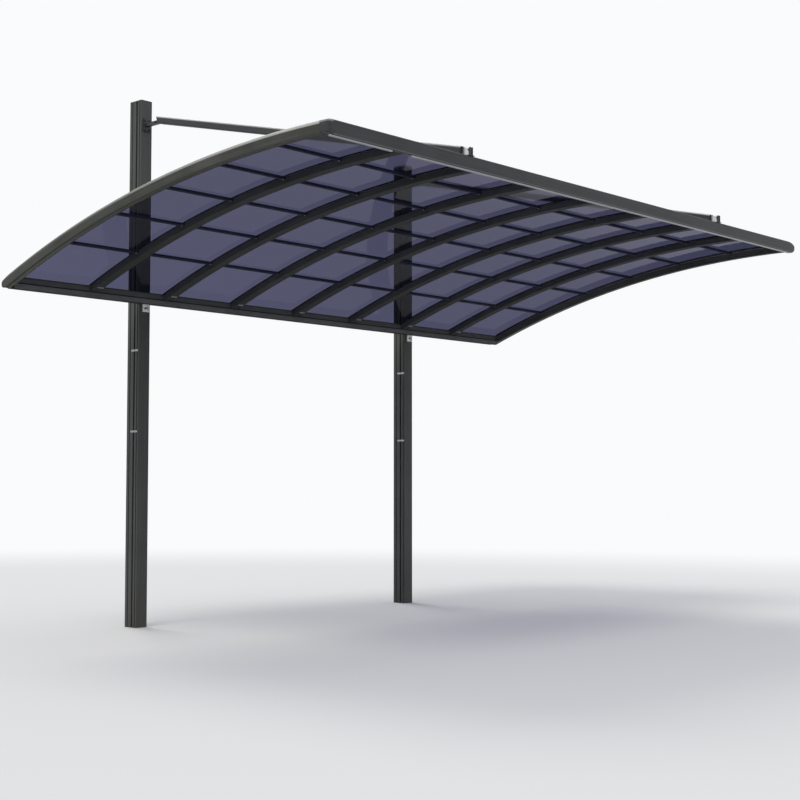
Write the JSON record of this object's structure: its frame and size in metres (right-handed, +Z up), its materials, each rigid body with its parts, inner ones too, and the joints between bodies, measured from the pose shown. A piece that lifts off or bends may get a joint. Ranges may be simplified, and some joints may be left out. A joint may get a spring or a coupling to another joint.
{
  "type": "carport",
  "caption": "Cantilever carport: two rear posts with tie arms hold an arched roof of tinted see-through sheets on slim ribs, low at the back and high at the open front.",
  "frame": {"origin": "centre of the left post's flat foot, at ground level", "axes": "+X along the low beam from the left post to the right post, +Z up the posts, -Y from the posts to the open front"},
  "size_m": [5, 3.036, 3.64],
  "materials": {
    "post_aluminium": "satin",
    "frame_aluminium": "satin",
    "purlin_aluminium": "satin",
    "bright_aluminium": "satin",
    "pale_trim": "satin",
    "dark_plastic": "matte",
    "lug_steel": "satin",
    "tinted_sheet": "gloss"
  },
  "bodies": {
    "root": {"left_post": "post_aluminium", "right_post": "post_aluminium", "left_post_cap": "dark_plastic", "right_post_cap": "dark_plastic", "left_arm_bracket": "lug_steel", "right_arm_bracket": "lug_steel", "left_tie_arm": "frame_aluminium", "right_tie_arm": "frame_aluminium", "left_arm_tongue": "bright_aluminium", "right_arm_tongue": "bright_aluminium", "left_arm_lug": "lug_steel", "right_arm_lug": "lug_steel", "left_beam_bracket": "bright_aluminium", "right_beam_bracket": "bright_aluminium", "back_beam": "frame_aluminium", "front_beam": "frame_aluminium", "front_trim": "pale_trim", "front_left_corner": "frame_aluminium", "front_right_corner": "frame_aluminium", "left_end_rafter": "frame_aluminium", "right_end_rafter": "frame_aluminium", "rib_1": "frame_aluminium", "rib_2": "frame_aluminium", "rib_3": "frame_aluminium", "rib_4": "frame_aluminium", "rib_5": "frame_aluminium", "rib_6": "frame_aluminium", "rib_7": "frame_aluminium", "purlin_1": "purlin_aluminium", "purlin_2": "purlin_aluminium", "purlin_3": "purlin_aluminium", "purlin_4": "purlin_aluminium", "purlin_5": "purlin_aluminium", "panel_1": "tinted_sheet", "panel_2": "tinted_sheet", "panel_3": "tinted_sheet", "panel_4": "tinted_sheet", "panel_5": "tinted_sheet", "panel_6": "tinted_sheet", "panel_7": "tinted_sheet", "panel_8": "tinted_sheet", "cover_strips": "frame_aluminium"}
  },
  "joints": []
}
